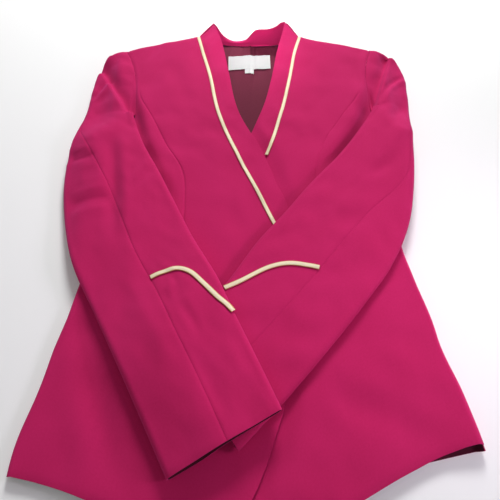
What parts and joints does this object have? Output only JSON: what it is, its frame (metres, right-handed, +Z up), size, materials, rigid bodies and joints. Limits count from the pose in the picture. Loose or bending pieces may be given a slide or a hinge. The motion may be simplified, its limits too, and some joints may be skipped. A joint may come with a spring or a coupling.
{
  "type": "uniform blazer",
  "caption": "Collarless long-sleeved wrap-front blazer laid flat, sleeves folded across the front, with cream piping at the neck and cuffs and a plum lining.",
  "frame": {"origin": "middle of the laid-out garment in plan, on the surface that it lies on", "axes": "+Z up from the surface, +Y from the hem to the neck, +X towards the wearer's left side"},
  "size_m": [0.4851, 0.7063, 0.0382],
  "materials": {
    "cloth": "smooth matt suiting",
    "trim": "soft satin piping",
    "lining": "satin lining",
    "label": "woven label"
  },
  "bodies": {
    "root": {"back": "cloth", "back_lining": "lining", "back_neck_band": "cloth", "front_right": "cloth", "front_left": "cloth", "neck_band_right": "cloth", "neck_band_left": "cloth", "neck_trim_right": "trim", "neck_trim_left": "trim", "cuff_trim_right": "trim", "cuff_trim_left": "trim", "top_sleeve_right": "cloth", "top_sleeve_left": "cloth", "under_sleeve_right": "cloth", "under_sleeve_left": "cloth", "label": "label", "size_tab": "label"}
  },
  "joints": []
}
